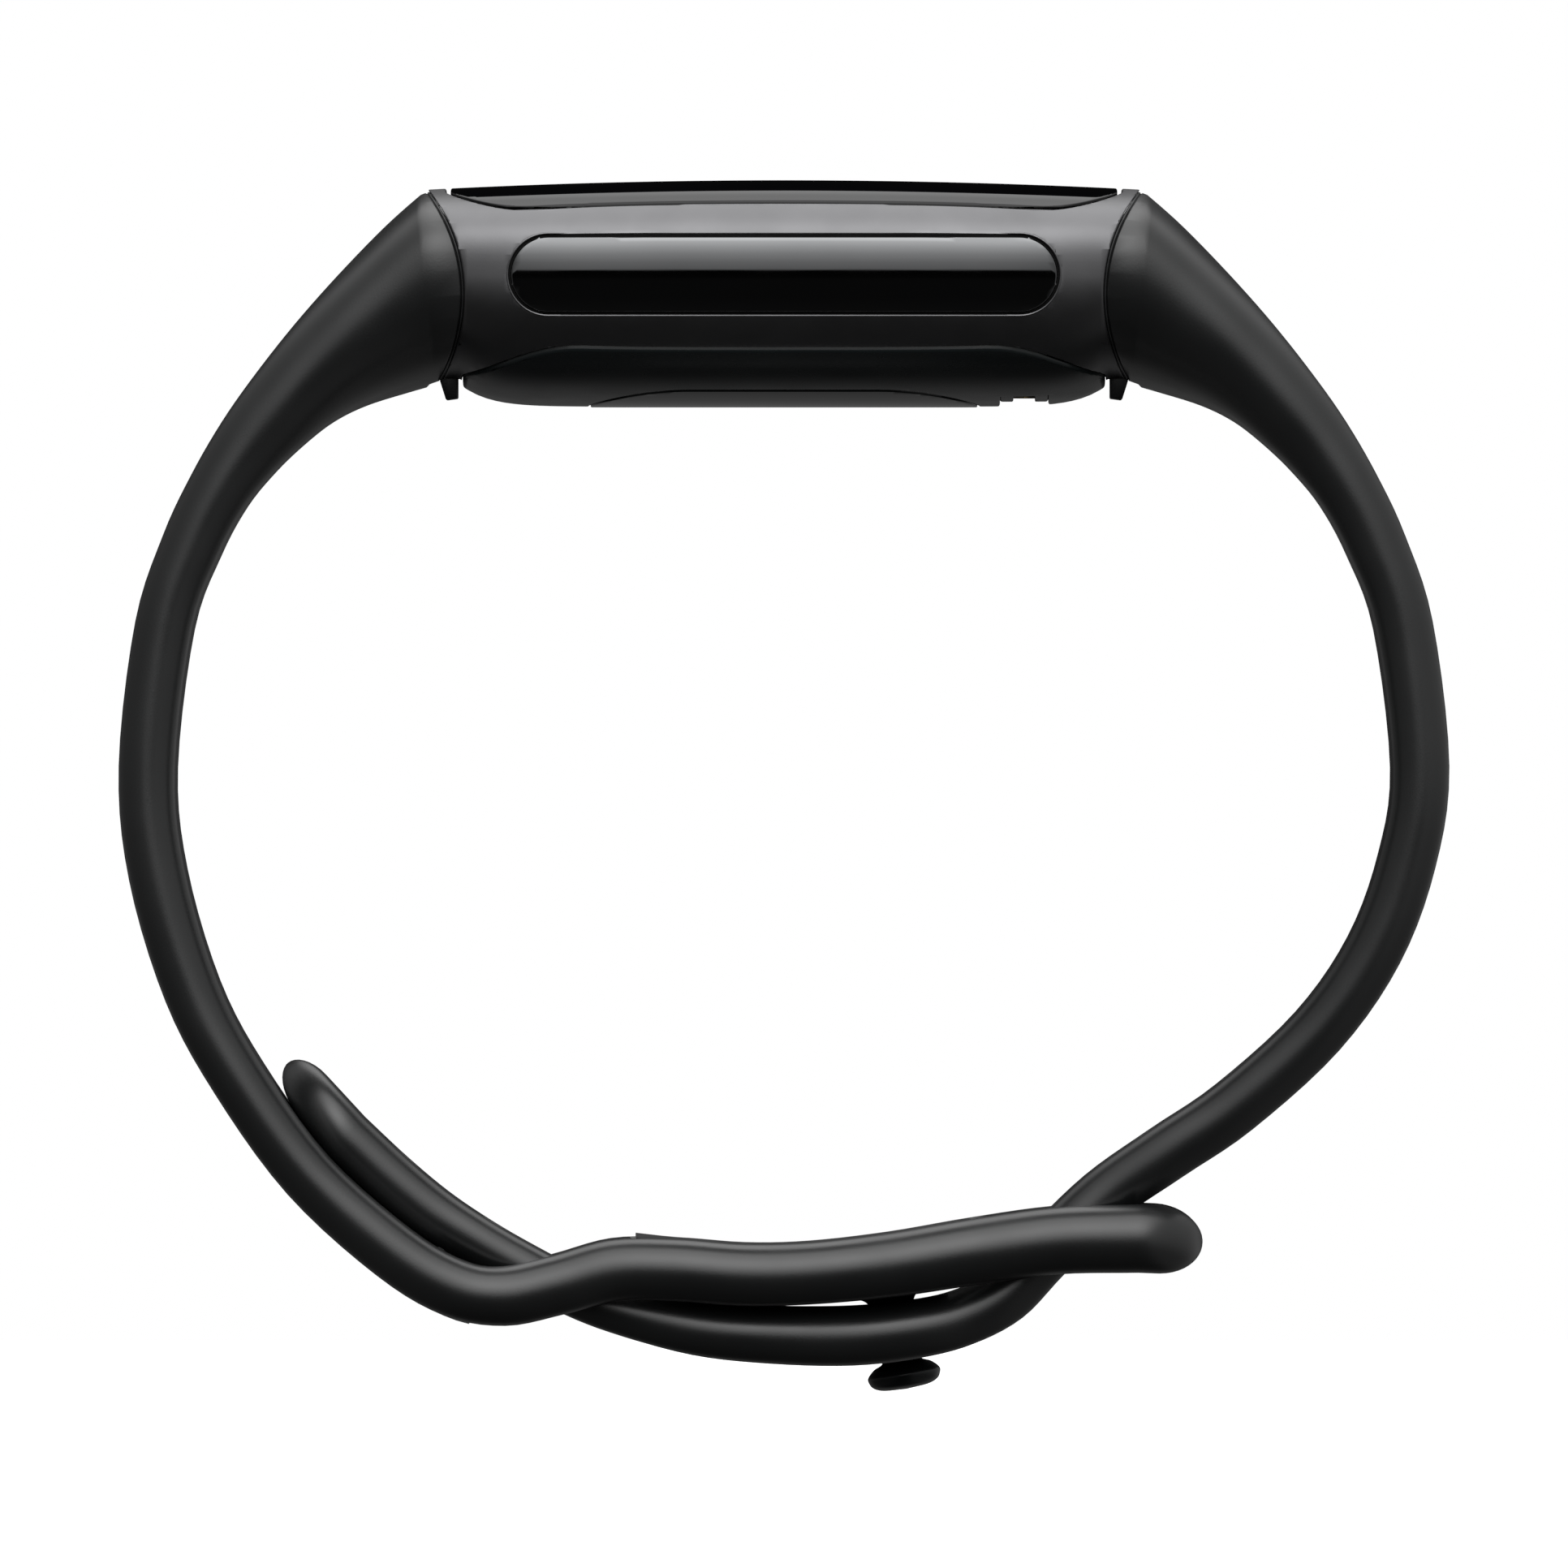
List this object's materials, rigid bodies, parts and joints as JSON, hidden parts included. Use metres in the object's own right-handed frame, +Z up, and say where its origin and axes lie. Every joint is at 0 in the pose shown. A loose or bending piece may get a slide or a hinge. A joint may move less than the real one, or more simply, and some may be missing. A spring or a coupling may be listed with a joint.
{
  "type": "fitness tracker band",
  "caption": "Slim wrist fitness tracker with an arched black glass front and a closed elastomer band fastened by a peg, an end loop and a tuck slot.",
  "frame": {"origin": "middle of the wrist opening, halfway across the band", "axes": "+X from the middle towards the strap with the holes, +Y across the band, +Z up through the display"},
  "size_m": [0.0666, 0.0228, 0.0607],
  "materials": {
    "cover_glass_black": "gloss black",
    "graphite_aluminium": "satin bead-blasted",
    "polished_steel": "dark polished",
    "strap_silicone": "soft satin elastomer",
    "black_plastic": "satin",
    "seal_rubber": "matt",
    "black_foam": "matt foam",
    "circuit_board": "solder resist",
    "chip_epoxy": "moulded epoxy",
    "led_lens": "clear lens",
    "display_black": "gloss",
    "flex_amber": "polyimide film",
    "battery_foil": "laminated foil",
    "contact_gold": "gold plated",
    "rotor_tungsten": "sintered"
  },
  "bodies": {
    "tracker": {"cover_glass": "cover_glass_black", "glass_adhesive": "black_foam", "housing": "graphite_aluminium", "side_electrode_near": "polished_steel", "side_electrode_far": "polished_steel", "electrode_gasket_near": "seal_rubber", "electrode_gasket_far": "seal_rubber", "rear_cover": "black_plastic", "rear_seal": "seal_rubber", "sensor_window": "cover_glass_black", "sensor_board": "circuit_board", "green_led_left": "led_lens", "green_led_right": "led_lens", "photodiode_left": "chip_epoxy", "photodiode_right": "chip_epoxy", "light_baffle": "black_foam", "charging_contact_near": "contact_gold", "charging_contact_far": "contact_gold", "pressure_vent": "black_foam", "display_panel": "display_black", "display_flex": "flex_amber", "main_board": "circuit_board", "processor_chip": "chip_epoxy", "radio_module": "polished_steel", "motion_sensor": "chip_epoxy", "power_chip": "chip_epoxy", "nfc_antenna": "flex_amber", "battery": "battery_foil", "battery_tray": "black_plastic", "board_screw_1": "polished_steel", "board_screw_2": "polished_steel", "board_screw_3": "polished_steel", "board_screw_4": "polished_steel", "motor_case": "polished_steel", "motor_shaft": "polished_steel"},
    "motor_rotor": {"motor_rotor": "rotor_tungsten"},
    "loop_strap_root": {"loop_strap_upper": "strap_silicone", "loop_connector": "black_plastic", "loop_button_spring": "polished_steel"},
    "loop_latch": {"loop_release_button": "black_plastic"},
    "loop_strap": {"loop_strap_lower": "strap_silicone", "clasp_peg": "black_plastic", "peg_anchor_plate": "polished_steel"},
    "hole_strap_root": {"hole_strap_upper": "strap_silicone", "hole_connector": "black_plastic", "hole_button_spring": "polished_steel"},
    "hole_latch": {"hole_release_button": "black_plastic"},
    "hole_strap": {"hole_strap_lower": "strap_silicone"},
    "strap_tail": {"hole_strap_tail": "strap_silicone"}
  },
  "joints": [
    {"name": "motor_spin", "type": "hinge", "parent": "tracker", "child": "motor_rotor", "pos_m": [0.0083, 0, 0.0268], "axis": [0, 0, 1], "continuous": true},
    {"name": "loop_strap_release", "type": "slide", "parent": "tracker", "child": "loop_strap_root", "axis": [-1, 0, 0], "range_m": [0, 0.0036]},
    {"name": "loop_strap_flex", "type": "slide", "parent": "loop_strap_root", "child": "loop_strap", "axis": [1, 0, 0], "range_m": [0, 0.0036]},
    {"name": "loop_button_press", "type": "slide", "parent": "loop_strap_root", "child": "loop_latch", "axis": [0, 0, 1], "range_m": [0, 0.0006], "stiffness_N_per_m": 300, "springref_m": -0.0003, "deforming": ["loop_button_spring"]},
    {"name": "hole_strap_release", "type": "slide", "parent": "tracker", "child": "hole_strap_root", "axis": [1, 0, 0], "range_m": [0, 0.0036]},
    {"name": "hole_strap_flex", "type": "slide", "parent": "hole_strap_root", "child": "hole_strap", "axis": [-1, 0, 0], "range_m": [0, 0.0036]},
    {"name": "hole_button_press", "type": "slide", "parent": "hole_strap_root", "child": "hole_latch", "axis": [0, 0, 1], "range_m": [0, 0.0006], "stiffness_N_per_m": 300, "springref_m": -0.0003, "deforming": ["hole_button_spring"]},
    {"name": "tail_lift", "type": "hinge", "parent": "hole_strap", "child": "strap_tail", "pos_m": [-0.01287, 0, -0.02094], "axis": [0, 1, 0], "range_deg": [0, 30], "stiffness_Nm_per_rad": 0.009, "springref_deg": -0.57}
  ],
  "couplings": [
    {"joint": "loop_strap_flex", "follows": "loop_strap_release", "ratio": 1},
    {"joint": "hole_strap_flex", "follows": "hole_strap_release", "ratio": 1}
  ]
}
